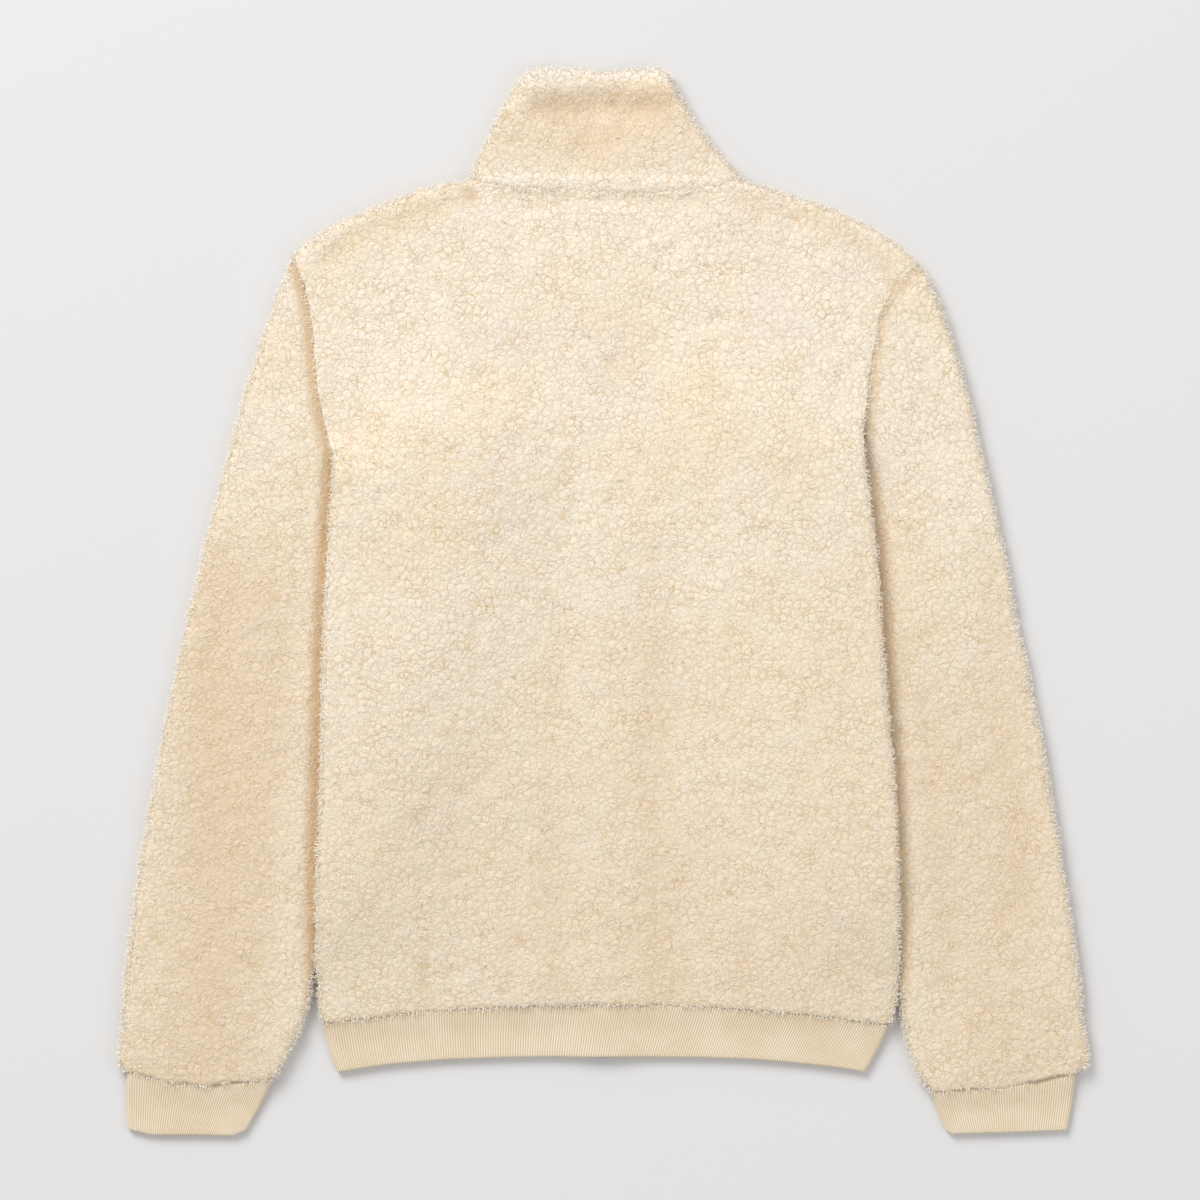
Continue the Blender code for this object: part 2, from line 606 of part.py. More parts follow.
def make_collar():
    """A band from zip edge to zip edge: left front wing, back, right front wing."""
    top_line = Line([left["collar_corner"], *collar_top, right["collar_corner"]])
    down = np.array([0.0, 0.04, 0.15, 0.32, 0.5, 0.66, 0.78, 0.88, 0.95, 1.0])

    def columns_of(base, folds):
        """Adds the fold columns near the ends that are folds."""
        run = np.concatenate([[0.0], np.cumsum(np.linalg.norm(np.diff(base, axis=0), axis=1))])
        stops = list(run)
        if folds[0]:
            stops = [*fold_steps, *stops[1:]]
        if folds[1]:
            stops = [*stops[:-1], *(run[-1] - np.array(fold_steps[::-1]))]
        stops = np.array(stops)
        return Line(base, smooth=False).at(stops), stops, run[-1]

    def sheet(base, stops, total, fold_a, fold_b, top_points, folds):
        grid = np.zeros((len(down), len(base), 2))
        for row, share in enumerate(down):
            a, b = fold_a.at(fold_a.length * share), fold_b.at(fold_b.length * share)
            width = np.linalg.norm(b - a)
            from_a = stops / total * width
            if folds[0]:
                from_a[:4] = fold_steps
            if folds[1]:
                from_a[-4:] = width - np.array(fold_steps[::-1])
            across = (from_a / width)[:, None]
            base_across = base[0] + (base[-1] - base[0]) * across
            top_at = top_points.at(top_points.length * across[:, 0])
            top_across = top_points.points[0] + (top_points.points[-1] - top_points.points[0]) * across
            grid[row] = (a + (b - a) * across + (base - base_across) * (1 - share) ** 1.5
                         + (top_at - top_across) * share ** 3)
        return grid

    fold_lines = {side["way"]: Line([side["neck_corner"], *side["collar_fold"], side["collar_corner"]])
                  for side in (left, right)}
    base, stops, total = columns_of(neck_points(), (True, True))
    back_plan = sheet(base, stops, total, fold_lines[-1], fold_lines[1], top_line, (True, True))
    wings = {}
    for side in (left, right):
        way = side["way"]
        zip_top = (way * zip_half_gap, collar_front_top)
        base, stops, total = columns_of(front_neck_points(side), (False, True))
        zip_line = Line([(way * zip_half_gap, neck_drop), zip_top], smooth=False)
        wing_top = Line([zip_top, side["collar_corner"]], smooth=False)
        wings[way] = sheet(base, stops, total, zip_line, fold_lines[way], wing_top, (False, True))

    def into_opening(x, y):
        """Distance into the V above the front's top edges, where the back of the collar sags."""
        inside = 999.0 * np.ones_like(x)
        for side in (left, right):
            a = np.array([side["way"] * zip_half_gap, collar_front_top])
            b = np.array(side["collar_corner"])
            run = (b - a) / np.linalg.norm(b - a)
            distance = -side["way"] * ((x - a[0]) * run[1] - (y - a[1]) * run[0])
            inside = np.minimum(inside, distance)
        return inside

    end_round = np.sqrt(1 - (1 - np.clip((1 - down) * 95.0 / 5.0, 0.0, 1.0)) ** 2)[:, None]
    turn = np.sin(fold_turns)

    def faces_of(plan, upside, folds):
        count = plan.shape[1]
        bend = np.zeros(count)
        if folds[0]:
            bend[:4] = turn
        if folds[1]:
            bend[-4:] = turn[::-1]
        drop = 1.0 - np.sqrt(1.0 - bend ** 2)
        toward = np.where(np.arange(count) < count / 2, 1.0, -1.0) if folds[0] else -np.ones(count)
        direction = (plan[:, -1] - plan[:, 0]) / np.linalg.norm(plan[:, -1] - plan[:, 0], axis=1)[:, None]
        inset = bend * pile_wall * toward
        x, y = plan[..., 0], plan[..., 1]
        if upside:
            roll = ease((down - 0.80) / 0.14)[:, None]
            sag = 6.4 * ease((into_opening(x, y) - 3.0) / 24.0) * (1 - 0.45 * roll)
            over_zip = ridge_over_zip * np.exp(-(x / 22.0) ** 2) * (1 - down[:, None])
            low = pile_wall + pile_gap - sag + over_zip
            thin = 0.8 * (1 - drop) * ease((down - 0.5) / 0.2)[:, None] * (1 - roll)
            thick = collar_back_wall + 1.8 * roll - thin
            thick = thick - (1.0 - edge_round((down * 95.0)[:, None], 1.0)) * 2.0
            seam_z = low - pile_gap / 2
            outer_z = seam_z + (low + thick - seam_z) * (1 - drop)
            inner_z = seam_z + (pile_gap / 2) * (1 - drop)
            middle = (outer_z + inner_z) / 2
            rounding = np.maximum(end_round, 0.35)
            outer_z = middle + (outer_z - middle) * rounding
            inner_z = middle + (inner_z - middle) * np.maximum(rounding, 0.6)
        else:
            seam_z = pile_wall + pile_gap / 2
            outer_z = seam_z - seam_z * (1 - drop) * np.ones_like(x)
            inner_z = (seam_z - (pile_gap / 2) * (1 - drop)) * np.ones_like(x)
        outer = np.stack([x, y, outer_z], axis=-1)
        inner = np.stack([x + inset * direction[:, :1], y + inset * direction[:, 1:], inner_z], axis=-1)
        return outer, inner

    back_outer, back_inner = faces_of(back_plan, True, (True, True))
    left_outer, left_inner = faces_of(wings[-1], False, (False, True))
    right_outer, right_inner = faces_of(wings[1], False, (False, True))
    outer = np.concatenate([left_outer[:, :-1], back_outer, right_outer[:, ::-1][:, 1:]], axis=1)
    inner = np.concatenate([left_inner[:, :-1], back_inner, right_inner[:, ::-1][:, 1:]], axis=1)
    for grid in (outer, inner):
        grid[0, :, 1] += seam / 2
    return wall("collar", outer, inner, cream)


def ribbed_ring(sections, pitch, closed):
    """Outer ribbed points and plain inner points of rows of rounded flat sections."""
    length = sections[0].length
    ribs = int(round(length / pitch))
    count = 2 * ribs if closed else 2 * ribs + 1
    outer_at = np.arange(count) / (2 * ribs)
    inner_at = sections[0].inner_shares
    outer = np.zeros((len(sections), count, 3))
    inner = np.zeros((len(sections), len(inner_at), 3))
    for row, section in enumerate(sections):
        raised = np.where(np.arange(count) % 2 == 0, 0.0, 1.0)[:, None]
        point, out = section.outer(outer_at)
        outer[row] = point - out * rib_height * (1 - raised)
        inner[row] = section.inner(inner_at)
    return outer, inner, outer_at, inner_at


class FlatSection:
    """A flattened loop of cloth across X: floor side, fold, top side, fold, and back.

    It starts on the floor side at x_start. open_half leaves a gap there for the zip.
    """

    def __init__(self, x_left, x_right, low, high, thick, row_y, x_start, open_half=0.0):
        self.row_y = row_y
        middle = (low(x_left) + high(x_left)) / 2
        turns = np.radians(np.arange(-90.0, 91.0, 15.0))

        def loop(inset):
            points = []
            xs = [x for x in np.linspace(x_start - open_half, x_left, 40)
                  if x > x_left + (high(x_left) - low(x_left)) / 2]
            points += [(x, low(x) + inset) for x in xs]
            for x_edge, way, flip in ((x_left, -1, 1), (x_right, 1, -1)):
                radius = (high(x_edge) - low(x_edge)) / 2
                centre = (x_edge - way * radius, (high(x_edge) + low(x_edge)) / 2)
                points += [(centre[0] + way * (radius - inset) * math.cos(turn),
                            centre[1] + flip * (radius - inset) * math.sin(turn))
                           for turn in turns]
                if way == -1:
                    start = x_left + radius
                    stop = x_right - (high(x_right) - low(x_right)) / 2
                    points += [(x, high(x) - inset) for x in np.linspace(start, stop, 80)[1:-1]]
            xs = [x for x in np.linspace(x_right, x_start + open_half, 40)
                  if x < x_right - (high(x_right) - low(x_right)) / 2]
            points += [(x, low(x) + inset) for x in xs]
            return np.array(points)

        self.outer_loop, self.inner_loop = loop(0.0), loop(thick)
        self.closed = open_half == 0.0
        if self.closed:
            self.outer_loop = np.vstack([self.outer_loop, self.outer_loop[:1]])
            self.inner_loop = np.vstack([self.inner_loop, self.inner_loop[:1]])
        steps = np.linalg.norm(np.diff(self.outer_loop, axis=0), axis=1)
        self.run = np.concatenate([[0.0], np.cumsum(steps)])
        self.length = self.run[-1]
        self.middle = middle
        shares = self.run / self.length
        slope = np.gradient(self.outer_loop, axis=0)
        turning = np.abs(np.gradient(np.unwrap(np.arctan2(slope[:, 1], slope[:, 0]))))
        keep = [0]
        for k in range(1, len(shares) - 1):
            if turning[k] > 0.12 and k % 2 == 0 or shares[k] - shares[keep[-1]] > 22.0 / self.length:
                keep.append(k)
        keep.append(len(shares) - 1)
        self.inner_shares = shares[keep[:-1] if self.closed else keep]

    def outer(self, share):
        at = share * self.length
        x = np.interp(at, self.run, self.outer_loop[:, 0])
        z = np.interp(at, self.run, self.outer_loop[:, 1])
        ahead, behind = (np.clip(at + step, 0, self.length) for step in (0.6, -0.6))
        run = np.stack([np.interp(ahead, self.run, self.outer_loop[:, k])
                        - np.interp(behind, self.run, self.outer_loop[:, k]) for k in (0, 1)], axis=-1)
        run /= np.linalg.norm(run, axis=1, keepdims=True)
        out = np.stack([run[:, 1], np.zeros(len(run)), -run[:, 0]], axis=-1)
        sign = np.sign((out[:, 2] * (z - self.middle)).sum())
        return np.stack([x, self.row_y(x), z], axis=-1), out * sign

    def inner(self, share):
        at = share * self.length
        x = np.interp(at, self.run, self.inner_loop[:, 0])
        z = np.interp(at, self.run, self.inner_loop[:, 1])
        return np.stack([x, self.row_y(x), z], axis=-1)


def make_waistband():
    (left_top, _), (right_top, _) = left["hem_corner"], right["hem_corner"]
    (left_low, _), (right_low, _) = left["band_end"], right["band_end"]
    sections = []
    for share in (0.0, 0.4, 1.0):
        bulge = 1.2 * math.sin(math.pi * share)
        x_left = left_top + (left_low - left_top) * share - bulge
        x_right = right_top + (right_low - right_top) * share + bulge
        lift = float(ease(1 - share / 0.6))

        def low(x, lift=lift):
            near_zip = math.exp(-(max(abs(x) - zip_half_gap, 0.0) / 14.0) ** 2)
            return max(1.4 * lift, 2.8 * near_zip)

        def high(x, lift=lift):
            return 7.4 + 3.0 * lift + (2.9 - 1.5 * lift) * math.exp(-(x / 24.0) ** 2)

        def row_y(x, share=share):
            return (hem_y(x) - seam / 2) * (1 - share) + band_end_y(x) * share

        sections.append(FlatSection(x_left, x_right, low, high, rib_wall, row_y, 0.0, zip_half_gap))
    outer, inner, outer_at, inner_at = ribbed_ring(sections, band_rib_pitch, False)
    return ribbed_wall("waistband", outer, inner, outer_at, inner_at, rib_cream)


def make_cuff(side, name):
    way = side["way"]
    end = Line(side["sleeve_end"]).points[::-way]
    bottom = Line(side["cuff_end"]).points[::-way]
    top_left, top_right = sorted(side["cuff_top"])
    low_left, low_right = sorted((bottom[0, 0], bottom[-1, 0]))
    sections = []
    for share in (0.0, 0.4, 1.0):
        bulge = 1.0 * math.sin(math.pi * share)
        x_left = top_left + (low_left - top_left) * share - bulge
        x_right = top_right + (low_right - top_right) * share + bulge
        lift = float(ease(1 - share / 0.6))

        def row_y(x, share=share):
            top_y = np.interp(x, end[:, 0], end[:, 1]) - 2 * seam
            low_y = np.interp(x, bottom[:, 0], bottom[:, 1])
            return top_y * (1 - share) + low_y * share

        def low(x, lift=lift):
            return 1.4 * lift

        def high(x, lift=lift):
            return 6.6 + 3.4 * lift

        sections.append(FlatSection(x_left, x_right, low, high, cuff_wall, row_y, (x_left + x_right) / 2))
    outer, inner, outer_at, inner_at = ribbed_ring(sections, cuff_rib_pitch, True)
    return ribbed_wall(name, outer, inner, outer_at, inner_at, rib_cream, ring=True)


def bar(name, x_pair, z_pair, y_pair, colour, roughness=0.6):
    """A straight strip along Y."""
    points = [np.array([x, y, z]) for y in y_pair for x in x_pair for z in z_pair]
    faces = [(0, 1, 3, 2), (4, 6, 7, 5), (0, 4, 5, 1), (2, 3, 7, 6), (0, 2, 6, 4), (1, 5, 7, 3)]
    return mesh_object(name, points, faces, colour, roughness)


def joined(name, boxes, colour, roughness):
    """One body from overlapping boxes given as (x low, x high, y low, y high, z low, z high)."""
    first = None
    for number, (x0, x1, y0, y1, z0, z1) in enumerate(boxes):
        block = bar(f"{name}_{number}", (x0, x1), (z0, z1), (y0, y1), colour, roughness)
        if first is None:
            first = block
            continue
        union = first.modifiers.new("join", "BOOLEAN")
        union.operation, union.solver, union.object = "UNION", "EXACT", block
        bpy.context.view_layer.update()
        graph = bpy.context.evaluated_depsgraph_get()
        made = bpy.data.meshes.new_from_object(first.evaluated_get(graph))
        first.modifiers.clear()
        first.data = made
        bpy.data.objects.remove(block)
    first.name = name
    return first


def make_zip():
    low_y = band_bottom + 0.6
    box_top = low_y + 11.0
    slider_y = collar_front_top - 9.0
    for name, way in (("zip_tape_left", -1), ("zip_tape_right", 1)):
        edges = sorted((way * tape_inner, way * (zip_half_gap - seam)))
        bar(name, edges, (tape_low, tape_high), (box_top + seam, collar_front_top - 1.0), rib_cream, 0.9)
    bar("zip_chain", (-chain_half, chain_half), (chain_low, chain_high),
        (box_top + seam, slider_y + 1.0), brass, 0.35)
    joined("zip_box", [(-4.0, 4.0, low_y, box_top, 3.4, 6.4)], brass, 0.35)

    # Two plates round the chain, a bridge above its end, and the arch that carries the pull
    plate_low, plate_high = (2.3, 3.3), (6.5, 7.5)
    nose, heel = slider_y + 5.5, slider_y - 5.0
    joined("zip_slider", [
        (-5.2, 5.2, heel, nose, *plate_low), (-5.2, 5.2, heel, nose, *plate_high),
        (-1.5, 1.5, slider_y + 1.6, nose - 0.2, plate_low[1] - 0.5, plate_high[0] + 0.5),
        (-0.8, 0.8, slider_y - 3.2, slider_y - 1.8, 0.2, plate_low[0] + 0.4),
        (-0.8, 0.8, slider_y + 1.4, slider_y + 2.8, 0.2, plate_low[0] + 0.4),
        (-0.8, 0.8, slider_y - 3.2, slider_y + 2.8, 0.15, 0.85)], brass, 0.3)
    pivot = slider_y - 0.9
    joined("zip_pull", [
        (-2.6, 2.6, pivot - 0.4, pivot + 0.4, 1.15, 1.95),
        (-2.6, -1.3, pivot - 7.0, pivot + 0.38, 1.1, 2.0), (1.3, 2.6, pivot - 7.0, pivot + 0.38, 1.1, 2.0),
        (-2.6, 2.6, pivot - 9.0, pivot - 5.0, 1.08, 2.02),
        (-4.4, 4.4, pivot - 31.0, pivot - 8.0, 1.05, 2.05)], brass, 0.3)


def main():
    for thing in list(bpy.data.objects):
        bpy.data.objects.remove(thing, do_unlink=True)
    make_back()
    for side, word in ((left, "left"), (right, "right")):
        make_front(side, f"front_{word}")
        make_sleeve(side, f"sleeve_{word}")
        make_cuff(side, f"cuff_{word}")
    make_collar()
    make_waistband()
    make_zip()
    # The origin is the middle of the jacket's box, on the surface that it lies on
    pieces = [thing for thing in bpy.data.objects if thing.type == "MESH"]
    corners = np.array([tuple(v.co) for thing in pieces for v in thing.data.vertices])
    middle = (corners.min(axis=0) + corners.max(axis=0)) / 2
    for thing in pieces:
        for vertex in thing.data.vertices:
            vertex.co.x -= middle[0]
            vertex.co.y -= middle[1]


main()
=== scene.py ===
import math
import random
import bmesh
import bpy
import numpy as np
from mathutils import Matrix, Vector, noise
from mathutils.kdtree import KDTree


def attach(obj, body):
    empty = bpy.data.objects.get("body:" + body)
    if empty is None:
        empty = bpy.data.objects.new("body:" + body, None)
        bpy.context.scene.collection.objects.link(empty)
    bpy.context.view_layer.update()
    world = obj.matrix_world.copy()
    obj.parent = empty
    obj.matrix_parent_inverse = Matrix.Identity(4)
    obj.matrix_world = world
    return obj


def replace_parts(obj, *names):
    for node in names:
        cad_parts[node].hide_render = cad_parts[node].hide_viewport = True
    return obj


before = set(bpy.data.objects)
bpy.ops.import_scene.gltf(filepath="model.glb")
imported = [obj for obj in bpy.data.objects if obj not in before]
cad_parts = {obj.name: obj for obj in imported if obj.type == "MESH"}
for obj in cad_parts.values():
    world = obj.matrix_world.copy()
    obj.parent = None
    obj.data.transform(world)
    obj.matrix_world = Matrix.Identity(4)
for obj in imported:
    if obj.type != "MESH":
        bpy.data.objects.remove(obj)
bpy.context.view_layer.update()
mm = 0.001
noise.seed_set(12)


def tone(red, green, blue):  # a colour as a paint chart gives it, in linear light
    channels = [(c / 255 / 12.92) if c < 10 else ((c / 255 + 0.055) / 1.055) ** 2.4
                for c in (red, green, blue)]
    return (*channels, 1.0)


def smoothStep(low, high, value):
    share = min(max((value - low) / (high - low), 0.0), 1.0)
    return share * share * (3 - 2 * share)


class Wire:  # a node's output socket, so that shader maths reads as an expression
    def __init__(self, finish, socket):
        self.finish, self.socket = finish, socket

    def maths(self, operation, *others):
        return self.finish.node("ShaderNodeMath", {"operation": operation},
                                dict(enumerate((self, *others))))

    def __add__(self, other): return self.maths("ADD", other)
    def __sub__(self, other): return self.maths("SUBTRACT", other)
    def __mul__(self, other): return self.maths("MULTIPLY", other)
    __radd__, __rmul__ = __add__, __mul__

    def __rsub__(self, other):
        return self.finish.node("ShaderNodeMath", {"operation": "SUBTRACT"}, {0: other, 1: self})

    def between(self, low, high):  # 0 below low, 1 above high, eased
        return self.finish.node("ShaderNodeMapRange", {"interpolation_type": "SMOOTHSTEP"},
                                {"Value": self, "From Min": low, "From Max": high})


class Finish:
    def __init__(self, name, **constants):
        self.material = bpy.data.materials.new(name)
        self.material.use_nodes = True
        self.nodes = self.material.node_tree.nodes
        self.links = self.material.node_tree.links
        self.shader = self.nodes["Principled BSDF"]
        for socket, value in constants.items():
            self.shader.inputs[socket.replace("_", " ")].default_value = value

    def node(self, kind, settings=None, sockets=None, out=0):
        made = self.nodes.new(kind)
        for name, value in (settings or {}).items():
            setattr(made, name, value)
        for key, value in (sockets or {}).items():
            if isinstance(value, Wire):
                self.links.new(value.socket, made.inputs[key])
            else:
                made.inputs[key].default_value = value
        return Wire(self, made.outputs[out])

    def place(self):  # where a point is on the object, in metres
        return self.node("ShaderNodeTexCoord", out="Object")

    def axes(self, vector):  # x and y of a vector, each as a wire
        split = self.node("ShaderNodeSeparateXYZ", {}, {0: vector})
        return split, Wire(self, split.socket.node.outputs[1])

    def noise(self, place, scale, detail=2.0, rough=0.5, colour=False):
        return self.node("ShaderNodeTexNoise", {}, {"Vector": place, "Scale": scale, "Detail": detail,
                                                    "Roughness": rough}, "Color" if colour else 0)

    def cells(self, place, scale):  # how far a point is from the edge of its cell
        return self.node("ShaderNodeTexVoronoi", {"feature": "DISTANCE_TO_EDGE"},
                         {"Vector": place, "Scale": scale})

    def mix(self, share, first, second):
        return self.node("ShaderNodeMix", {"data_type": "RGBA"}, {0: share, 6: first, 7: second}, 2)

    def vector(self, operation, first, second):
        return self.node("ShaderNodeVectorMath", {"operation": operation}, {0: first, 1: second})

    def set(self, **wires):
        for socket, wire in wires.items():
            self.links.new(wire.socket, self.shader.inputs[socket.replace("_", " ")])

    def relief(self, height, depth, strength=1.0):
        bump = self.node("ShaderNodeBump", {}, {"Height": height, "Strength": strength,
                                                "Distance": depth})
        self.set(Normal=bump)


pileLook = dict(
    # three of these tones serve as painted shade and one as painted highlight, as marked where they are used
    cream=tone(250, 238, 218), light=tone(255, 247, 233), crackShade=tone(214, 184, 140),
    tan=tone(244, 224, 192), lavender=tone(243, 231, 222), low=tone(236, 219, 193),
    paintedShading=tone(212, 176, 130), paintedHighlight=tone(254, 249, 241),
    curl=175, smallCurl=430, fibre=1500,  # how many to a metre
    depth=1.3 * mm, relief=0.72,
)


def makePile():
    look = pileLook
    pile = Finish("sherpaPile", Roughness=0.95, Sheen_Weight=0.3, Sheen_Roughness=0.5,
                  Specular_IOR_Level=0.1)
    place = pile.place()

    def stirred(points, scale, reach, detail):  # points pushed about, so that curls aren't round
        push = pile.vector("SUBTRACT", pile.noise(points, scale, detail, 0.6, True), (0.5, 0.5, 0.5))
        push = pile.node("ShaderNodeVectorMath", {"operation": "SCALE"}, {0: push, "Scale": reach})
        return pile.vector("ADD", points, push)

    bent = stirred(stirred(place, 80, 0.007, 2), 380, 0.0026, 1)
    wander = pile.noise(place, 60, 3, 0.6)       # where the curls lie closed and where they part
    curls = pile.cells(bent, look["curl"])
    small = pile.cells(stirred(bent, 800, 0.0012, 1), look["smallCurl"])
    fibre = pile.noise(place, look["fibre"], 2, 0.7)
    parted = 1 - curls.between(0.0, 0.04 + wander * 0.15)
    partedSmall = 1 - small.between(0.0, 0.2)
    crackShade = parted * (wander * 1.1) + partedSmall * 0.2

    broad = pile.noise(place, 7, 3, 0.6)
    patch = pile.noise(pile.vector("ADD", place, (3.1, 1.7, 0.4)), 16, 3, 0.6)
    y = pile.axes(place)[1]
    paintedShading = pile.node("ShaderNodeAttribute", {"attribute_name": "paintedShading"}, out="Fac")
    base = pile.mix(broad.between(0.38, 0.66) * 0.7, look["cream"], look["tan"])
    base = pile.mix(patch.between(0.5, 0.72) * 0.5, base, look["lavender"])
    # painted shade: the pile darker and more tan towards the hem, where the light falls off
    base = pile.mix((1 - y.between(-0.38, 0.3)) * 0.75, base, look["low"])
    base = pile.mix(fibre.between(0.4, 0.75) * 0.5, base, look["light"])
    # painted shade: tan where the shading attribute read above is over 0, in valleys, seam grooves and on
    # the sleeves beside the back's edge
    base = pile.mix(paintedShading.maths("MAXIMUM", 0) * (0.6 + fibre * 0.5), base, look["paintedShading"])
    # painted highlight: near white where that shading attribute is below 0, on the collar's top roll and
    # along the neck seam
    base = pile.mix((paintedShading * -1).maths("MAXIMUM", 0), base, look["paintedHighlight"])
    # painted shade: tan in the partings between the curls
    pile.set(Base_Color=pile.mix(crackShade.between(0.0, 1.0) * 0.8, base, look["crackShade"]))
    height = curls.between(0.0, 0.42) * 0.55 + small.between(0.0, 0.35) * 0.3 + fibre * 0.45
    pile.relief(height, look["depth"], look["relief"])
    return pile.material


def makeCurls():
    curls = Finish("looseCurls", Roughness=0.95, Sheen_Weight=0.4, Sheen_Roughness=0.5,
                   Specular_IOR_Level=0.1)
    place = curls.place()
    shade = curls.noise(place, 150, 2, 0.6)
    fibre = curls.noise(place, 1800, 2, 0.7)
    # painted highlight: the loose curls are whiter than the pile, standing in for the bright halo that light
    # makes round the rims
    base = curls.mix(shade.between(0.35, 0.65), pileLook["light"], pileLook["paintedHighlight"])
    curls.set(Base_Color=curls.mix(fibre * 0.3, base, pileLook["cream"]))
    curls.relief(fibre, 0.3 * mm, 0.4)
    return curls.material


ribLook = dict(cream=tone(240, 224, 198), deep=tone(200, 172, 134), light=tone(248, 236, 214))


def makeRibKnit():
    look = ribLook
    knit = Finish("ribKnit", Roughness=0.85, Sheen_Weight=0.2, Sheen_Roughness=0.5,
                  Specular_IOR_Level=0.2)
    place = knit.place()
    rib, row = knit.axes(knit.node("ShaderNodeUVMap", {"uv_map": "ribs"}))   # each counts by whole ones
    wave = (rib * (2 * math.pi)).maths("COSINE") * -0.5 + 0.5                # 0 in a furrow, 1 on a rib
    sway = (rib * (4 * math.pi)).maths("COSINE") * 1.2
    loops = ((row * (2 * math.pi)) + sway).maths("COSINE") * 0.5 + 0.5
    fuzz = knit.noise(place, 1500, 2, 0.7)
    patch = knit.noise(place, 30, 3, 0.6)
    base = knit.mix(patch.between(0.35, 0.7), look["cream"], look["light"])
    # painted shade: darker in the furrows between ribs and between the knit loops, with a little random
    # fibre tone
    dark = (1 - wave.between(0.05, 0.75)) * 0.6 + (1 - loops) * 0.12 + (1 - fuzz) * 0.1
    knit.set(Base_Color=knit.mix(dark, base, look["deep"]))
    knit.relief(wave * 0.5 + loops * 0.2 + fuzz * 0.25, 0.5 * mm, 0.6)
    return knit.material


def makeTape():
    tape = Finish("zipTape", Roughness=0.8, Specular_IOR_Level=0.2)
    x, y = tape.axes(tape.place())
    x = x.maths("ABSOLUTE")
    twill = ((x + y) * 5200).maths("SINE") * 0.5 + 0.5
    weft = ((y - x) * 9000).maths("SINE") * 0.5 + 0.5
    fuzz = tape.noise(tape.place(), 1800, 2, 0.6)
    shade = twill * 0.5 + weft * 0.2 + fuzz * 0.3
    tape.set(Base_Color=tape.mix(shade, tone(206, 186, 156), tone(236, 221, 196)))
    tape.relief(shade, 0.15 * mm, 0.6)
    return tape.material


def makeBrass():
    metal = Finish("zipMetal", Metallic=1.0)
    place = metal.place()
    grime = metal.noise(place, 260, 3, 0.6)
    scratch = metal.noise(metal.node("ShaderNodeMapping", {}, {"Vector": place, "Scale": (4, 0.5, 1)}),
                          2400, 2, 0.6)
    metal.set(Base_Color=metal.mix(grime.between(0.35, 0.7), tone(196, 190, 178), tone(168, 160, 146)),
              Roughness=0.28 + grime * 0.2 + scratch * 0.08)
    metal.relief(scratch * 0.6 + grime * 0.4, 0.04 * mm, 0.5)
    return metal.material


pile, looseCurls, ribKnit = makePile(), makeCurls(), makeRibKnit()
zipTape, zipMetal = makeTape(), makeBrass()
print("materials made")


def newPiece(name, mesh, material, body="jacket"):
    piece = bpy.data.objects.new(name, mesh)
    bpy.context.scene.collection.objects.link(piece)
    mesh.materials.clear()
    mesh.materials.append(material)
    for face in mesh.polygons:
        face.use_smooth = True
    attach(piece, body)
    return piece


def rounded(name, form, levels):  # the form with a subdivision surface applied
    mesh = bpy.data.meshes.new(name)
    form.to_mesh(mesh)
    form.free()
    helper = bpy.data.objects.new(name + "Form", mesh)
    bpy.context.scene.collection.objects.link(helper)
    surface = helper.modifiers.new("surface", "SUBSURF")
    surface.levels = surface.render_levels = levels
    ready = bpy.data.meshes.new_from_object(helper.evaluated_get(bpy.context.evaluated_depsgraph_get()))
    bpy.data.objects.remove(helper)
    bpy.data.meshes.remove(mesh)
    ready.name = name
    return ready


# each panel of pile: its flat size and area in metres, the side it shows, the edge lengths in mm that its
# faces are cut down to, and how strong the painted shadow is on a sleeve where the back's edge lies over it
panels = {
    "back": dict(size=(0.483, 0.657), area=0.275, outward="up", finest=(3.4, 3.4)),
    "front_left": dict(size=(0.232, 0.656), area=0.120, outward="down", finest=(4.0,)),
    "front_right": dict(size=(0.238, 0.656), area=0.123, outward="down", finest=(4.0,)),
    "sleeve_left": dict(size=(0.400, 0.646), area=0.160, outward="both", finest=(3.4, 3.4), beside=1.0),
    "sleeve_right": dict(size=(0.400, 0.646), area=0.161, outward="both", finest=(3.4, 3.4), beside=0.55),
    "collar": dict(size=(0.210, 0.193), area=0.035, outward="both", finest=(3.4, 3.4)),
}
# heights and sizes of the pile's lumps, curls and wrinkles; middle is the height of the flat jacket's middle
pileForm = dict(middle=6.6 * mm, lump=0.8 * mm, lumpSize=14 * mm, curl=0.5 * mm, curlSize=6 * mm,
                wrinkle=1.3 * mm, wrinkleSize=85 * mm, floor=0.15 * mm, seamReach=2.6 * mm,
                seamStir=9 * mm, seamFill=0.9 * mm, besideDepth=1.0 * mm,
                # where a seam's fill, its pull and the painted shade of its groove fade, in mm from the
                # neighbour's edge
                fillFade=(1, 9), pullFade=(2, 6.5), grooveFade=(0.8, 3), besideFade=(3, 15))


# the jacket's drawing: its middle, the millimetres to one of its units, and its shift to the frame in mm
drawing = dict(middle=(602, 602.5), unit=0.78, shift=(-1.2, -0.457))


def spot(across, down):  # a point of the drawing, in its own units, as frame millimetres
    (midX, midY), unit, (shiftX, shiftY) = drawing["middle"], drawing["unit"], drawing["shift"]
    return (across - midX) * unit + shiftX, (midY - down) * unit + shiftY
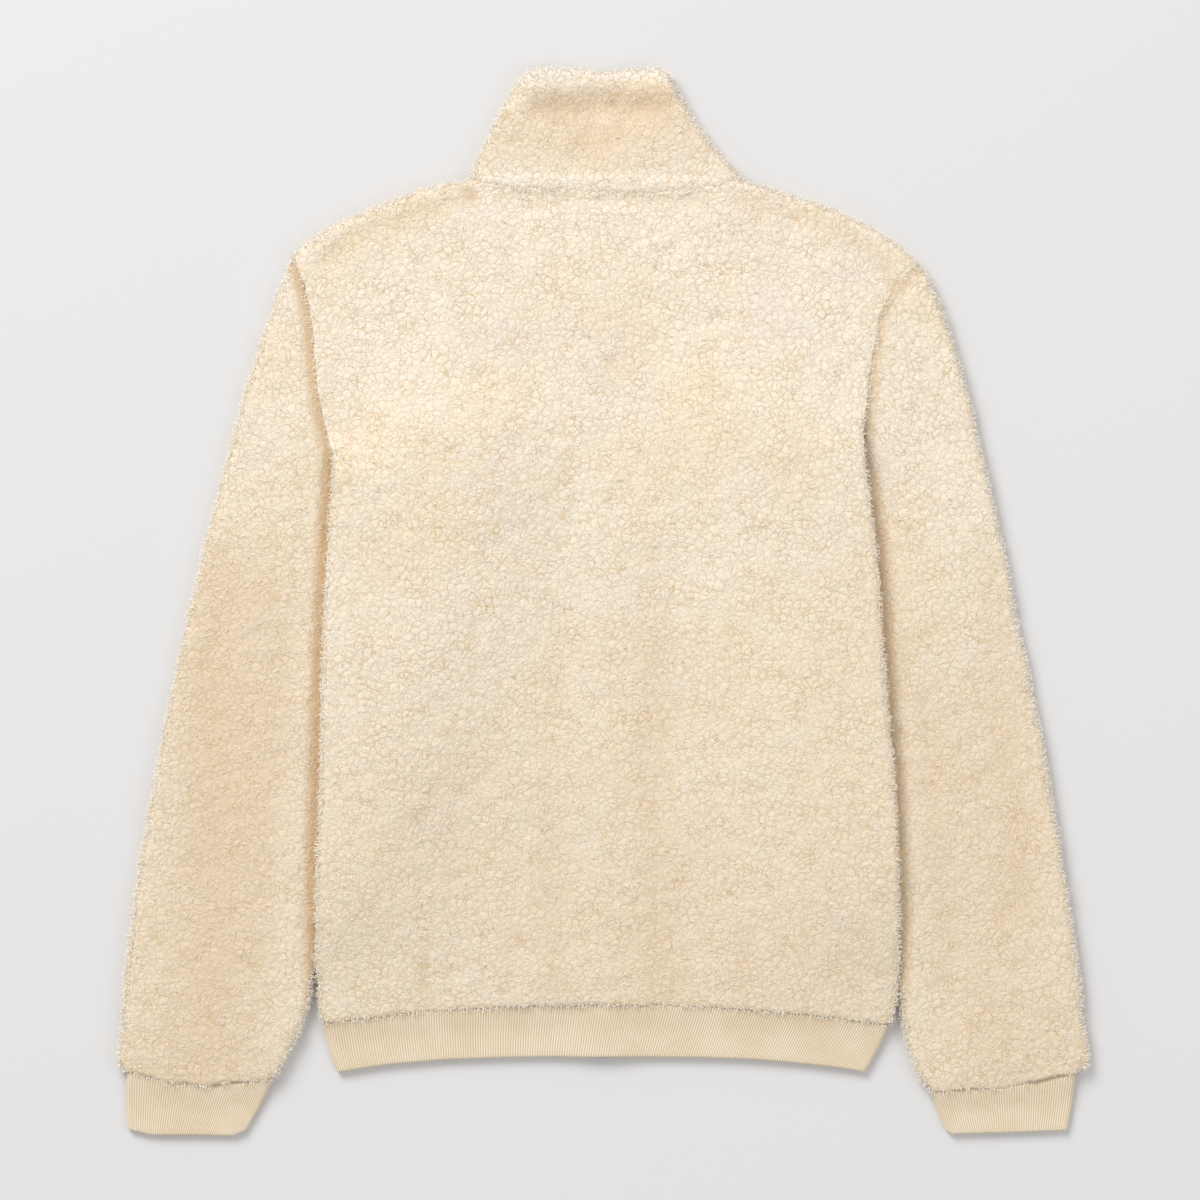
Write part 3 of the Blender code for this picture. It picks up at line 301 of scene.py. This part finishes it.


# soft valleys: the line along each, how deep and wide it is in mm, and how much painted shade its colour
# gets (below 0, painted highlight)
valleys = {
    "collar": [([(540, 102), (600, 100), (657, 101)], 0.0, 12.0, 0.4),
               ([(536, 113), (600, 111), (661, 112)], 1.2, 8.0, 0.05),
               ([(536, 93), (600, 91), (661, 92)], -2.2, 8.0, 0.0),
               ([(510, 138), (604, 142), (700, 138)], 0.0, 28.0, 0.3),
               ([(510, 74), (560, 68), (640, 68), (690, 74)], 0.0, 8.0, -0.9),
               ([(556, 112), (580, 128), (604, 142)], 0.9, 9.0, 0.1),
               ([(646, 112), (626, 128), (610, 140)], 0.9, 9.0, 0.1),
               ([(490, 180), (604, 181), (716, 183)], -0.8, 3.0, -0.3)],
    "back": [([(474, 199), (430, 211), (385, 226), (350, 241), (324, 262)], 0.9, 8.0, 0.26),
             ([(737, 200), (790, 213), (838, 232), (876, 258), (894, 282)], 0.9, 8.0, 0.24),
             ([(652, 560), (660, 700), (654, 820), (664, 995)], 0.8, 15.0, 0.15),
             ([(560, 620), (548, 800), (556, 990)], 0.4, 14.0, 0.12),
             ([(400, 800), (600, 900), (800, 940)], 0.0, 90.0, 0.12),
             ([(500, 199), (604, 201), (706, 201)], 0.6, 4.0, 0.2),
             ([(424, 960), (426, 1004)], 0.7, 6.0, 0.18), ([(512, 930), (510, 990)], 0.6, 7.0, 0.16),
             ([(742, 950), (740, 1006)], 0.6, 8.0, 0.14), ([(466, 190), (472, 197)], 1.0, 5.0, 0.5)],
    "sleeve_left": [([(250, 600), (225, 800), (205, 1060)], 0.3, 45.0, 0.36),
                    ([(222, 560), (205, 700), (196, 860)], 0.8, 16.0, 0.12),
                    ([(290, 640), (272, 800), (262, 960)], 0.7, 12.0, 0.1)],
    "sleeve_right": [([(960, 700), (990, 860), (1005, 1040)], 0.3, 45.0, 0.18),
                     ([(988, 560), (1010, 720), (1022, 900)], 0.8, 15.0, 0.18),
                     ([(925, 700), (938, 850), (944, 980)], 0.7, 12.0, 0.16)],
}


def distanceTo(line, points):  # from each point to the nearest of the line's stretches
    nearest = np.full(len(points), 1e9)
    for start, end in zip(line, line[1:]):
        start, run = np.array(start), np.array(end) - np.array(start)
        along = np.clip((points - start) @ run / (run @ run), 0, 1)
        nearest = np.minimum(nearest, np.linalg.norm(points - start - along[:, None] * run, axis=1))
    return nearest


def outwardShare(outward, point, normal):  # 1 on the side that shows, down to 0.1 on the hidden one
    lean = {"up": normal.z, "down": -normal.z,
            "both": normal.z if point.z > pileForm["middle"] else -normal.z}[outward]
    return min(max(0.65 + 1.2 * lean, 0.1), 1.0)


def drawPanel(name, plan):  # the panel's form, smooth and finely divided where it shows
    form = bmesh.new()
    form.from_mesh(bpy.data.objects[name].data)
    bmesh.ops.remove_doubles(form, verts=form.verts, dist=0.02 * mm)
    bmesh.ops.join_triangles(form, faces=form.faces, angle_face_threshold=0.9,
                             angle_shape_threshold=2.2)
    mesh = rounded(name + "Pile", form, 2)
    form = bmesh.new()
    form.from_mesh(mesh)
    for length in plan["finest"]:
        edges = [edge for edge in form.edges if edge.calc_length() > length * mm
                 and edge.verts[0].normal.z > -0.4
                 and outwardShare(plan["outward"], edge.verts[0].co, edge.verts[0].normal) > 0.45]
        bmesh.ops.subdivide_edges(form, edges=edges, cuts=1, use_grid_fill=True)
        form.normal_update()
    return form, mesh


def rimTree(form, flat):  # the side-facing points of a panel, seen from above where flat is true
    rim = [vert for vert in form.verts if abs(vert.normal.z) < 0.75]
    tree = KDTree(len(rim))
    for index, vert in enumerate(rim):
        tree.insert((vert.co.x, vert.co.y, 0 if flat else vert.co.z), index)
    tree.balance()
    return tree


def makePanel(name, plan, form, mesh, seams, bodyEdge):
    shape, moves, paintedShadings = pileForm, [], []
    flatPoints = np.array([(vert.co.x / mm, vert.co.y / mm) for vert in form.verts])
    sink, paintedValleyShading = np.zeros(len(flatPoints)), np.zeros(len(flatPoints))
    # each valley sinks the pile and paints shade along it, or painted highlight where its amount is below 0
    for line, depth, width, paintedShadingAmount in valleys.get(name, []):
        near = np.exp(-(distanceTo([spot(*point) for point in line], flatPoints) / width) ** 2)
        sink, paintedValleyShading = sink + depth * near, np.clip(paintedValleyShading + paintedShadingAmount * near, -1, 1)
    for index, vert in enumerate(form.verts):
        point, normal = vert.co.copy(), vert.normal
        share = outwardShare(plan["outward"], point, normal)
        up = smoothStep(0.2, 0.8, normal.z) * share
        across, near = Vector(), 99.0        # towards the neighbour's edge, and how far that is in mm
        if seams and normal.z > -0.6:
            other, _, near = min((tree.find(point) for tree in seams), key=lambda found: found[2])
            across, near = (other - point) * Vector((1, 1, 0)), near / mm
        lump = noise.noise(point / shape["lumpSize"]) * shape["lump"]
        curl = abs(noise.noise(point / shape["curlSize"] + Vector((5, 2, 9)))) * 2 * shape["curl"]
        wrinkle = noise.fractal(Vector((point.x * 1.3, point.y * 0.8, 0.3)) / shape["wrinkleSize"],
                                1.0, 2.0, 2) * shape["wrinkle"]
        rise = (lump + curl) * share * (1 + 0.8 * smoothStep(0.75, 0.2, normal.z)) + wrinkle * up
        filled = 1 - smoothStep(*shape["fillFade"], near)
        lift = shape["seamFill"] * filled * smoothStep(0, 0.4, normal.z) * share
        reach = shape["seamReach"] * (1 + 0.5 * noise.noise(point / shape["seamStir"]))
        pulled = 1 - smoothStep(*shape["pullFade"], near)
        across = across.normalized() * reach * pulled * smoothStep(-0.6, -0.2, normal.z)
        paintedShading, dip = paintedValleyShading[index] * up, sink[index] * mm * up
        # painted shade: tan on the rims in a seam's groove, so the dark line there reads brown
        if near < shape["grooveFade"][1]:
            groove = 1 - smoothStep(*shape["grooveFade"], near)
            paintedShading = max(paintedShading, 0.7 * groove * smoothStep(0.8, 0.3, normal.z))
        # painted shadow: tan on a sleeve beside the back's edge, which lies over it, together with a real
        # dip
        if bodyEdge and normal.z > -0.2 and point.z > shape["middle"]:
            edgeAway = bodyEdge.find((point.x, point.y, 0))[2] / mm
            beside = 1 - smoothStep(*shape["besideFade"], edgeAway)
            paintedShading, dip = max(paintedShading, plan["beside"] * beside), dip + shape["besideDepth"] * beside
        place = point + normal * rise + across + Vector((0, 0, lift - dip))
        place.z = max(place.z, shape["floor"])
        moves.append(place)
        paintedShadings.append(paintedShading)
    for vert, place in zip(form.verts, moves):
        vert.co = place
    form.to_mesh(mesh)
    form.free()
    mesh.attributes.new("paintedShading", "FLOAT", "POINT").data.foreach_set("value", paintedShadings)
    piece = newPiece(name + "Pile", mesh, pile)
    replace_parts(piece, name)
    print(name, "panel", len(mesh.polygons), "faces")
    return piece


def makePanels():
    drawn = {name: drawPanel(name, plan) for name, plan in panels.items()}
    rims = {name: rimTree(form, False) for name, (form, mesh) in drawn.items()}
    backEdge = rimTree(drawn["back"][0], True)
    for name in ("waistband", "cuff_left", "cuff_right"):
        form = bmesh.new()
        form.from_mesh(bpy.data.objects[name].data)
        rims[name] = rimTree(form, False)
        form.free()
    joined = {"back": ("sleeve_left", "sleeve_right", "collar", "waistband"), "collar": ("back",),
              "front_left": ("waistband",), "front_right": ("waistband",),
              "sleeve_left": ("back", "cuff_left"), "sleeve_right": ("back", "cuff_right")}
    return {name: makePanel(name, plan, *drawn[name], [rims[other] for other in joined.get(name, ())],
                            backEdge if "sleeve" in name else None)
            for name, plan in panels.items()}


panelPieces = makePanels()
print("panels made")


# loose curls along the panels' edges: how many for each square millimetre, and their sizes in mm
fuzzPlan = dict(rim=0.42, top=0.02, length=(1.9, 4.2), thick=0.32, curl=0.8, rimLean=0.88)


def makeFuzz(name, panel, plan):
    strands = bpy.data.curves.new(name, "CURVE")
    strands.dimensions = "3D"
    strands.bevel_depth, strands.bevel_resolution = plan["thick"] * mm, 0
    outward = panels[name.replace("Fuzz", "")]["outward"]
    chance = random.Random(name)
    for face in panel.data.polygons:
        normal, centre = face.normal, face.center
        if normal.z < -0.1 or outwardShare(outward, centre, normal) < 0.45:
            continue
        onRim = normal.z < plan["rimLean"]
        wanted = face.area * 1e6 * plan["rim" if onRim else "top"]
        count = int(wanted) + (chance.random() < wanted % 1)
        corners = [panel.data.vertices[index].co for index in face.vertices]
        for _ in range(count):
            weights = [chance.random() for _ in corners]
            root = sum((corner * weight for corner, weight in zip(corners, weights)), Vector())
            root /= sum(weights)
            stray = Vector([chance.gauss(0, 0.5) for _ in range(3)])
            side = Vector([chance.gauss(0, plan["curl"]) for _ in range(3)])
            reach = chance.uniform(*plan["length"]) * mm
            way = (normal + stray + Vector((0, 0, 0.25))).normalized() * reach
            if not onRim:
                way = (normal * 0.25 + side).normalized() * reach
            points = [root - normal * 0.4 * mm,
                      root + way * 0.45 + (normal * 0.3 + side * 0.3) * reach * 0.5,
                      root + way * 0.9 + side.cross(normal) * reach * 0.4]
            strand = strands.splines.new("POLY")
            strand.points.add(2)
            for point, place, width in zip(strand.points, points, (0.8, 1.0, 0.35)):
                point.co = (place.x, place.y, max(place.z, 0.2 * mm), 1)
                point.radius = width
    helper = bpy.data.objects.new(name, strands)
    bpy.context.scene.collection.objects.link(helper)
    mesh = bpy.data.meshes.new_from_object(helper.evaluated_get(bpy.context.evaluated_depsgraph_get()))
    bpy.data.objects.remove(helper)
    bpy.data.curves.remove(strands)
    mesh.name = name
    print(name, len(mesh.polygons), "faces")
    return newPiece(name, mesh, looseCurls)


fuzzPieces = {name: makeFuzz(name + "Fuzz", panelPieces[name], fuzzPlan)
              for name in ("back", "sleeve_left", "sleeve_right", "collar")}
print("fuzz made")


# each band from its seam (top) to its fold (foot), in mm of the drawing: its ends across, its thickness
# when flat (height), and how much it swells at its sides (bulge), at the seam (lift) and over the zip
bands = {
    "waistband": dict(top=(-217.6, 224.2), foot=(-206.7, 205.9), bulge=1.2, ribs=430, opening=6.5,
                      wall=3.0, height=7.4, lift=3.0, zipRise=2.9, size=(0.880, 0.050), area=0.041,
                      topArc=(-311.65, 14.7, 218.0, 2.2), footArc=(-354.0, 12.2, 206.0, 3.2)),
    "cuff_left": dict(top=(-369.9, -255.2), foot=(-369.7, -276.5), bulge=1.0, ribs=118, opening=0.0,
                      wall=2.6, height=6.6, lift=3.4, zipRise=0.0, size=(0.215, 0.045), area=0.0090,
                      topLine=[(-376.7, -362.5), (-346, -369.5), (-316, -373.9), (-285, -373.2),
                               (-254, -367.8)],
                      footLine=[(-369.7, -410.7), (-351.8, -414.6), (-287.8, -415.4), (-276.5, -411.0)]),
    "cuff_right": dict(top=(256.4, 369.0), foot=(267.5, 362.7), bulge=1.0, ribs=116, opening=0.0,
                       wall=2.6, height=6.6, lift=3.4, zipRise=0.0, size=(0.215, 0.045), area=0.0090,
                       topLine=[(255.8, -379.0), (287, -377.6), (318, -374.5), (348, -370.0),
                                (379.1, -363.0)],
                       footLine=[(267.5, -411.5), (272.2, -414.3), (362.7, -411.4)]),
}
ribForm = dict(columns=4, rise=0.42, rows=11, foldRows=5, stir=0.35, tuck=2.4, knitRows=45,
               seamLift=1.4, zipLift=2.8, openingFade=14, zipFade=24, cuffTuck=0.6)


def bandLine(plan, x, share):  # Y of a row of the band, from its seam at 0 to its fold at 1
    if "topLine" in plan:
        top = np.interp(x, *zip(*plan["topLine"])) - ribForm["cuffTuck"]
        foot = np.interp(x, *zip(*plan["footLine"]))
    else:
        top, foot = (middle - drop * np.abs(x / half) ** power
                     for middle, drop, half, power in (plan["topArc"], plan["footArc"]))
    return top * (1 - share) + foot * share


def bandLoop(plan, share, count):  # evenly spaced points round a flattened loop, and the way out of it
    bulge = plan["bulge"] * math.sin(math.pi * share)
    left = plan["top"][0] * (1 - share) + plan["foot"][0] * share - bulge
    right = plan["top"][1] * (1 - share) + plan["foot"][1] * share + bulge
    lift = smoothStep(0, 1, 1 - share / 0.6)
    start = 0.0 if plan["opening"] else (left + right) / 2

    seamLift = ribForm["seamLift"] * lift

    def low(x):  # height of the loop's floor side
        away = np.maximum(np.abs(x) - plan["opening"], 0) / ribForm["openingFade"]
        nearZip = np.exp(-away ** 2) if plan["opening"] else 0 * x
        return np.maximum(seamLift, ribForm["zipLift"] * nearZip)

    def high(x):  # height of its upper side
        overZip = plan["zipRise"] * (1 - 0.5 * lift) * np.exp(-(x / ribForm["zipFade"]) ** 2)
        return plan["height"] + plan["lift"] * lift + overZip

    radius = (float(high(np.array(left))) - float(low(np.array(left)))) / 2
    turn = np.linspace(-math.pi / 2, math.pi / 2, 25)[1:-1]
    under = np.linspace(start - plan["opening"], left + radius, 120)
    over = np.linspace(left + radius, right - radius, 400)
    back = np.linspace(right - radius, start + plan["opening"], 120)
    middle = seamLift + radius
    xs = np.concatenate([under, left + radius - radius * np.cos(turn), over,
                         right - radius + radius * np.cos(turn), back])
    zs = np.concatenate([low(under), middle + radius * np.sin(turn), high(over),
                         middle - radius * np.sin(turn), low(back)])
    run = np.concatenate([[0], np.cumsum(np.hypot(np.diff(xs), np.diff(zs)))])
    at = np.linspace(0, run[-1], count)
    x, z = np.interp(at, run, xs), np.interp(at, run, zs)
    ahead, behind = np.minimum(at + 0.8, run[-1]), np.maximum(at - 0.8, 0)
    dx = np.interp(ahead, run, xs) - np.interp(behind, run, xs)
    dz = np.interp(ahead, run, zs) - np.interp(behind, run, zs)
    size = np.hypot(dx, dz)
    return x, z, dz / size * -1, dx / size


def makeBand(name, plan):
    form = bmesh.new()
    threads = form.loops.layers.uv.new("ribs")
    columns, (shiftX, shiftY) = plan["ribs"] * ribForm["columns"], drawing["shift"]
    turns = [math.pi * k / (ribForm["foldRows"] + 1) for k in range(1, ribForm["foldRows"] + 1)]
    # down the outside, round the fold, up the inside and across the seam; each row has its place from
    # seam to fold, how deep it lies in the wall, how far it drops past the fold and how much rib it shows
    rows = ([(k / ribForm["rows"], 0.0, 0.0, 1.0) for k in range(ribForm["rows"] + 1)]
            + [(1.0, (1 - math.cos(a)) / 2, math.sin(a) / 2, 1.0 - a / math.pi) for a in turns]
            + [(share, 1.0, 0.0, 0.0) for share in (1.0, 0.8, 0.6, 0.4, 0.2, 0.0)]
            + [(0.0, 0.0, 0.0, 1.0)])
    bmesh.ops.create_grid(form, x_segments=columns, y_segments=len(rows) - 1, size=0.5, calc_uvs=True)
    for face in form.faces:
        for loop in face.loops:
            u, v = loop[threads].uv
            loop[threads].uv = (u * plan["ribs"], v * ribForm["knitRows"])
    loops = {share: bandLoop(plan, share, columns + 1) for share in {row[0] for row in rows}}
    for vert in form.verts:
        column = round((vert.co.x + 0.5) * columns)
        share, depth, drop, raised = rows[round((vert.co.y + 0.5) * (len(rows) - 1))]
        xs, zs, outX, outZ = (values[column] for values in loops[share])
        rib = 0.5 - 0.5 * math.cos(2 * math.pi * column / ribForm["columns"])
        stir = noise.noise(Vector((xs / 30, share * 2, zs / 6))) * ribForm["stir"]
        inward = depth * plan["wall"] + ribForm["rise"] * (1 - rib) * raised
        y = bandLine(plan, xs, share) + plan["wall"] / 2 * share - drop * plan["wall"] + stir * share
        y += ribForm["tuck"] if share == 0 else 0
        x, z = xs - outX * inward, zs - outZ * inward
        vert.co = Vector((x + shiftX, y + shiftY, z)) * mm
    bmesh.ops.remove_doubles(form, verts=form.verts, dist=0.001 * mm)
    bmesh.ops.holes_fill(form, edges=[edge for edge in form.edges if edge.is_boundary], sides=0)
    bmesh.ops.recalc_face_normals(form, faces=form.faces)
    mesh = bpy.data.meshes.new(name + "Rib")
    form.to_mesh(mesh)
    form.free()
    piece = newPiece(name + "Rib", mesh, ribKnit)
    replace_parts(piece, name)
    print(name, "band", len(mesh.polygons), "faces")
    return piece


bandPieces = {name: makeBand(name, plan) for name, plan in bands.items()}
print("ribbed bands made")


# the closed zip, in mm of the frame
zipPlan = dict(middle=-1.2, low=-342.6, high=305.0, pitch=2.6, toothSize=(3.3, 1.25, 2.2), height=4.9,
               reach=2.75, bevel=0.28, firstTooth=1.2)
tapePlan = dict(middles=dict(zip_tape_left=-5.95, zip_tape_right=3.55), width=2.9, length=655.0, top=5.35,
                thick=0.8, wave=0.12, waveSize=23, hang=0.25)
stopPlan = dict(middles=(-5.4, 3.0), along=311.0, size=(1.5, 2.2, 1.6), bevel=0.3)


def bevelled(form, width, segments=2):  # edges sharper than half a radian get a round, in mm
    edges = [edge for edge in form.edges if edge.calc_face_angle(0) > 0.5]
    bmesh.ops.bevel(form, geom=edges, offset=width * mm, offset_type="OFFSET", affect="EDGES",
                    segments=segments, profile=0.5, material=-1, clamp_overlap=True)


def block(form, centre, size, width, segments=2):  # a bevelled block, with sizes in mm
    part = bmesh.new()
    bmesh.ops.create_cube(part, size=1)
    bmesh.ops.scale(part, vec=Vector(size) * mm, verts=part.verts)
    bevelled(part, width, segments)
    bmesh.ops.translate(part, vec=Vector(centre) * mm, verts=part.verts)
    mesh = bpy.data.meshes.new("block")
    part.to_mesh(mesh)
    part.free()
    form.from_mesh(mesh)
    bpy.data.meshes.remove(mesh)


def finishPiece(name, form, material, body="jacket"):
    mesh = bpy.data.meshes.new(name)
    form.to_mesh(mesh)
    form.free()
    return newPiece(name, mesh, material, body)


def makeTeeth():
    plan, form = zipPlan, bmesh.new()
    x, y, z = plan["toothSize"]
    for way in (-1, 1):
        row = bmesh.new()
        first = plan["low"] + plan["firstTooth"] + (plan["pitch"] / 2 if way > 0 else 0)
        centre = (plan["middle"] + way * (plan["reach"] - x / 2), first, plan["height"])
        block(row, centre, (x, y, z), plan["bevel"], 1)
        count = int((plan["high"] - first) / plan["pitch"])
        bmesh.ops.spin(row, geom=row.verts[:] + row.edges[:] + row.faces[:], cent=(0, 0, 0),
                       axis=(0, 0, 1), dvec=(0, plan["pitch"] * mm, 0), angle=0, steps=count,
                       use_duplicate=True)
        bmesh.ops.recalc_face_normals(row, faces=row.faces)
        mesh = bpy.data.meshes.new("teethRow")
        row.to_mesh(mesh)
        row.free()
        form.from_mesh(mesh)
        bpy.data.meshes.remove(mesh)
    piece = finishPiece("zipTeeth", form, zipMetal)
    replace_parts(piece, "zip_chain")


def makeTapes():
    plan = tapePlan
    for name, centre in plan["middles"].items():
        form = bmesh.new()
        bmesh.ops.create_grid(form, x_segments=4, y_segments=260, size=0.5)
        for vert in form.verts:
            across, along = vert.co.x, vert.co.y + 0.5
            y = zipPlan["low"] + plan["length"] * along
            wave = noise.noise(Vector((centre, y / plan["waveSize"], 0))) * plan["wave"]
            z = plan["top"] + wave - plan["hang"] * (2 * across) ** 2
            vert.co = Vector((centre + across * plan["width"], y, z)) * mm
        bmesh.ops.solidify(form, geom=form.faces[:], thickness=plan["thick"] * mm)
        bmesh.ops.recalc_face_normals(form, faces=form.faces)
        piece = finishPiece(name + "Weave", form, zipTape)
        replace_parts(piece, name)


def makeMetal(node, name, width, body):
    form = bmesh.new()
    form.from_mesh(bpy.data.objects[node].data)
    bmesh.ops.remove_doubles(form, verts=form.verts, dist=0.01 * mm)
    bmesh.ops.join_triangles(form, faces=form.faces, angle_face_threshold=0.1,
                             angle_shape_threshold=3.1)
    bevelled(form, width)
    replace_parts(finishPiece(name, form, zipMetal, body), node)


def makeStops():
    form = bmesh.new()
    for x in stopPlan["middles"]:
        block(form, (x, stopPlan["along"], zipPlan["height"]), stopPlan["size"], stopPlan["bevel"])
    finishPiece("zipStops", form, zipMetal)


makeTeeth()
makeTapes()
makeMetal("zip_slider", "zipSlider", 0.18, "jacket")
makeMetal("zip_pull", "zipPull", 0.14, "zip_pull")
makeMetal("zip_box", "zipBox", 0.5, "jacket")
makeStops()
print("zip made")


# what each cloth piece lies on, and what lies beside it and counts as its cloth
laidOut = {
    "back": dict(on=("front_left", "front_right", "sleeve_left", "sleeve_right")),
    "front_left": dict(on=("sleeve_left",), beside=("zip_tape_leftWeave",)),
    "front_right": dict(on=("sleeve_right",), beside=("zip_tape_rightWeave",)),
}


def declareCloth():
    plans, pieces = {**panels, **bands}, {**panelPieces, **bandPieces}
    for name, plan in plans.items():
        laid = laidOut.get(name, {})
        beside = list(laid.get("beside", ())) + ([fuzzPieces[name]] if name in fuzzPieces else [])


declareCloth()


floorPlan = dict(half=4.0, colour=tone(224, 223, 223), shade=tone(216, 216, 216))
studio = dict(softboxUpperLeft=((-2.7, 4.1, 4.3), 3.6, 283),    # place, width and power of each lamp
              fillRight=((2.2, -0.6, 2.8), 2.4, 14))
skyStrength = 0.6
cameraPlan = dict(middle=(-0.00276, 0.00149), above=5.0, shows=0.936, sensor=36)  # all but the last in m


def makeFloor():
    form = bmesh.new()
    bmesh.ops.create_grid(form, x_segments=4, y_segments=4, size=floorPlan["half"])
    mesh = bpy.data.meshes.new("paperFloor")
    form.to_mesh(mesh)
    form.free()
    floor = bpy.data.objects.new("paperFloor", mesh)
    bpy.context.scene.collection.objects.link(floor)
    paper = Finish("paper", Roughness=0.9, Specular_IOR_Level=0.1)
    shade = paper.noise(paper.place(), 1.5, 2)
    paper.set(Base_Color=paper.mix(shade * 0.1, floorPlan["colour"], floorPlan["shade"]))
    mesh.materials.append(paper.material)


def makeLight(name, place, size, power):
    lamp = bpy.data.lights.new(name, "AREA")
    lamp.shape, lamp.size, lamp.energy = "DISK", size, power
    light = bpy.data.objects.new(name, lamp)
    light.location = place
    light.rotation_euler = (-Vector(place)).to_track_quat("-Z", "Y").to_euler()
    bpy.context.scene.collection.objects.link(light)


def makeStage():
    makeFloor()
    for name, values in studio.items():
        makeLight(name, *values)
    world = bpy.data.worlds.new("studio")
    world.use_nodes = True
    sky = world.node_tree.nodes["Background"]
    sky.inputs["Color"].default_value = (1, 1, 1, 1)
    sky.inputs["Strength"].default_value = skyStrength
    bpy.context.scene.world = world
    bpy.context.scene.view_settings.view_transform = "Standard"
    lens = bpy.data.cameras.new("camera")
    lens.sensor_width = cameraPlan["sensor"]
    lens.lens = cameraPlan["sensor"] * cameraPlan["above"] / cameraPlan["shows"]
    camera = bpy.data.objects.new("camera", lens)
    camera.location = (*cameraPlan["middle"], cameraPlan["above"])
    bpy.context.scene.collection.objects.link(camera)
    bpy.context.scene.camera = camera


makeStage()
print("stage made")
